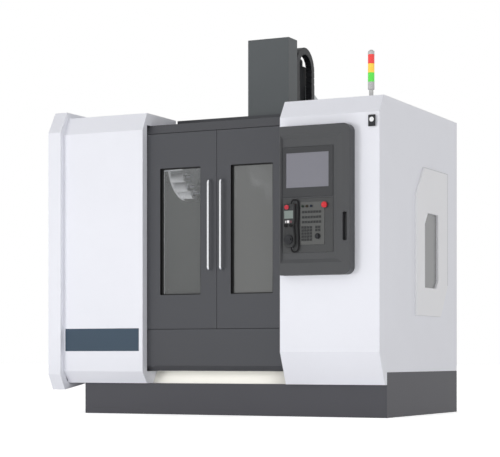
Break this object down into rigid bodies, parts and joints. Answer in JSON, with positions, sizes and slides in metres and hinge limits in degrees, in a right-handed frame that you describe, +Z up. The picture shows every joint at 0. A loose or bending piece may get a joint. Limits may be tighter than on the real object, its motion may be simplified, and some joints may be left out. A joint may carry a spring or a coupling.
{
  "type": "cnc machining center",
  "caption": "Vertical machining center in a full enclosure: sliding doors, table on crossed slides, travelling head, tool changer and operator console.",
  "frame": {"origin": "on the floor under the middle of the whole machine's box", "axes": "+X to the operator's right, +Y away from the operator, +Z up"},
  "size_m": [2.544, 2.5958, 2.683],
  "materials": {
    "white_enamel": "smooth satin enamel",
    "charcoal_enamel": "fine satin enamel",
    "plinth_enamel": "satin enamel",
    "cream_enamel": "satin enamel",
    "casting_enamel": "painted casting",
    "ground_iron": "ground face",
    "ground_steel": "ground",
    "stainless_cover": "brushed",
    "chromed_bar": "polished",
    "safety_glass": "clear with a grey tint",
    "grey_glass": "smoked",
    "motor_black": "matt",
    "black_plastic": "fine texture",
    "console_plastic": "fine texture",
    "screen_bezel": "gloss",
    "red_plastic": "gloss",
    "green_plastic": "gloss",
    "amber_plastic": "gloss",
    "blue_plastic": "gloss",
    "signal_lens": "translucent",
    "pale_plastic": "smooth",
    "cable_rubber": "matt",
    "bellows_cloth": "coated cloth",
    "cabinet_enamel": "textured enamel",
    "galvanised": "zinc"
  },
  "bodies": {
    "frame": {"bed_casting": "casting_enamel", "levelling_pads": "galvanised", "base_skirt": "plinth_enamel", "column_casting": "casting_enamel", "linear_rails": "ground_steel", "axis_servo_motors": "motor_black", "left_side_wall": "white_enamel", "left_front_panel": "white_enamel", "right_front_panel": "white_enamel", "right_side_wall": "white_enamel", "side_window_frame": "white_enamel", "side_window_glass": "grey_glass", "door_header": "charcoal_enamel", "front_apron": "charcoal_enamel", "chip_pan": "cream_enamel", "rear_splash_walls": "cream_enamel", "electrical_cabinet": "cabinet_enamel", "stack_light_base": "pale_plastic", "stack_light_lenses": "signal_lens", "changer_frame": "casting_enamel", "way_cover_fixed": "stainless_cover", "chain_bracket": "galvanised", "z_way_cover": "bellows_cloth"},
    "left_door_leaf": {"left_door": "charcoal_enamel", "left_window": "safety_glass", "left_handle": "chromed_bar"},
    "right_door_leaf": {"right_door": "charcoal_enamel", "right_window": "safety_glass", "right_handle": "chromed_bar"},
    "saddle": {"saddle_casting": "casting_enamel", "x_linear_rails": "ground_steel", "x_servo_motor": "motor_black", "way_cover_saddle": "stainless_cover"},
    "table": {"work_table": "ground_iron"},
    "y_screw": {"y_ball_screw": "ground_steel"},
    "x_screw": {"x_ball_screw": "ground_steel"},
    "z_screw": {"z_ball_screw": "ground_steel"},
    "rear_hood": {"way_cover_rear": "stainless_cover"},
    "front_hood": {"way_cover_front": "stainless_cover"},
    "head": {"head_casting": "casting_enamel", "spindle_motor": "motor_black", "head_cover": "charcoal_enamel"},
    "spindle": {"spindle_nose": "ground_steel"},
    "chain": {"cable_chain": "black_plastic"},
    "carousel": {"tool_carousel": "casting_enamel"},
    "pot": {"change_pot": "ground_steel"},
    "changer_shaft": {"arm_shaft": "ground_steel"},
    "changer_arm": {"change_arm": "ground_steel"},
    "cabinet_leaf": {"cabinet_door": "cabinet_enamel"},
    "console": {"console_housing": "console_plastic", "console_screen": "screen_bezel", "operator_panel": "console_plastic", "pendant": "black_plastic", "pendant_cable": "cable_rubber"},
    "stop_button": {"estop_button": "red_plastic"},
    "start_button": {"cycle_start_button": "green_plastic"},
    "hold_button": {"feed_hold_button": "amber_plastic"},
    "coolant_key": {"coolant_button": "blue_plastic"},
    "dial": {"override_dial": "black_plastic"},
    "handwheel": {"pendant_wheel": "black_plastic"}
  },
  "joints": [
    {"name": "left_door_slide", "type": "slide", "parent": "frame", "child": "left_door_leaf", "axis": [-1, 0, 0], "range_m": [0, 0.44]},
    {"name": "right_door_slide", "type": "slide", "parent": "frame", "child": "right_door_leaf", "axis": [1, 0, 0], "range_m": [0, 0.44]},
    {"name": "y_axis", "type": "slide", "parent": "frame", "child": "saddle", "axis": [0, 1, 0], "range_m": [-0.25, 0.25]},
    {"name": "x_axis", "type": "slide", "parent": "saddle", "child": "table", "axis": [1, 0, 0], "range_m": [-0.4, 0.4]},
    {"name": "z_axis", "type": "slide", "parent": "frame", "child": "head", "axis": [0, 0, 1], "range_m": [-0.5, 0], "deforming": ["z_way_cover"]},
    {"name": "spindle_spin", "type": "hinge", "parent": "head", "child": "spindle", "pos_m": [0.108, -0.27, 1.6], "axis": [0, 0, 1], "continuous": true},
    {"name": "y_screw_spin", "type": "hinge", "parent": "frame", "child": "y_screw", "pos_m": [0.108, -0.27, 0.59], "axis": [0, 1, 0], "continuous": true},
    {"name": "x_screw_spin", "type": "hinge", "parent": "saddle", "child": "x_screw", "pos_m": [0.108, -0.27, 0.765], "axis": [1, 0, 0], "continuous": true},
    {"name": "z_screw_spin", "type": "hinge", "parent": "frame", "child": "z_screw", "pos_m": [0.108, 0.262, 1.4], "axis": [0, 0, 1], "continuous": true},
    {"name": "rear_hood_slide", "type": "slide", "parent": "frame", "child": "rear_hood", "axis": [0, 1, 0], "range_m": [-0.168, 0.168]},
    {"name": "front_hood_slide", "type": "slide", "parent": "frame", "child": "front_hood", "axis": [0, 1, 0], "range_m": [-0.084, 0.084]},
    {"name": "chain_slide", "type": "slide", "parent": "frame", "child": "chain", "axis": [0, 0, 1], "range_m": [-0.251, 0.001]},
    {"name": "carousel_turn", "type": "hinge", "parent": "frame", "child": "carousel", "pos_m": [-0.65, -0.27, 1.84], "axis": [1, 0, 0], "continuous": true},
    {"name": "pot_tilt", "type": "hinge", "parent": "carousel", "child": "pot", "pos_m": [-0.612, -0.27, 1.59], "axis": [0, 1, 0], "range_deg": [0, 90]},
    {"name": "arm_drop", "type": "slide", "parent": "frame", "child": "changer_shaft", "axis": [0, 0, 1], "range_m": [-0.11, 0]},
    {"name": "arm_swing", "type": "hinge", "parent": "changer_shaft", "child": "changer_arm", "pos_m": [-0.252, -0.27, 1.47], "axis": [0, 0, 1], "range_deg": [0, 270]},
    {"name": "cabinet_hinge", "type": "hinge", "parent": "frame", "child": "cabinet_leaf", "pos_m": [-0.3, 1.2851, 1.16], "axis": [0, 0, 1], "range_deg": [0, 120]},
    {"name": "console_hinge", "type": "hinge", "parent": "frame", "child": "console", "pos_m": [0.573, -1.178, 1.427], "axis": [0, 0, -1], "range_deg": [0, 90]},
    {"name": "stop_press", "type": "slide", "parent": "console", "child": "stop_button", "axis": [0, 1, 0], "range_m": [0, 0.003], "stiffness_N_per_m": 300},
    {"name": "start_press", "type": "slide", "parent": "console", "child": "start_button", "axis": [0, 1, 0], "range_m": [0, 0.003], "stiffness_N_per_m": 300},
    {"name": "hold_press", "type": "slide", "parent": "console", "child": "hold_button", "axis": [0, 1, 0], "range_m": [0, 0.003], "stiffness_N_per_m": 300},
    {"name": "coolant_press", "type": "slide", "parent": "console", "child": "coolant_key", "axis": [0, 1, 0], "range_m": [0, 0.003], "stiffness_N_per_m": 300},
    {"name": "override_turn", "type": "hinge", "parent": "console", "child": "dial", "pos_m": [0.855, -1.245, 1.189], "axis": [0, -1, 0], "range_deg": [-150, 150]},
    {"name": "handwheel_turn", "type": "hinge", "parent": "console", "child": "handwheel", "pos_m": [0.66, -1.275, 1.17], "axis": [0, -1, 0], "continuous": true}
  ],
  "couplings": [
    {"joint": "y_screw_spin", "follows": "y_axis", "rad_per_m": 628.32},
    {"joint": "x_screw_spin", "follows": "x_axis", "rad_per_m": 628.32},
    {"joint": "z_screw_spin", "follows": "z_axis", "rad_per_m": 628.32},
    {"joint": "rear_hood_slide", "follows": "y_axis", "ratio": 0.66667},
    {"joint": "front_hood_slide", "follows": "y_axis", "ratio": 0.33333},
    {"joint": "chain_slide", "follows": "z_axis", "ratio": 0.5}
  ]
}
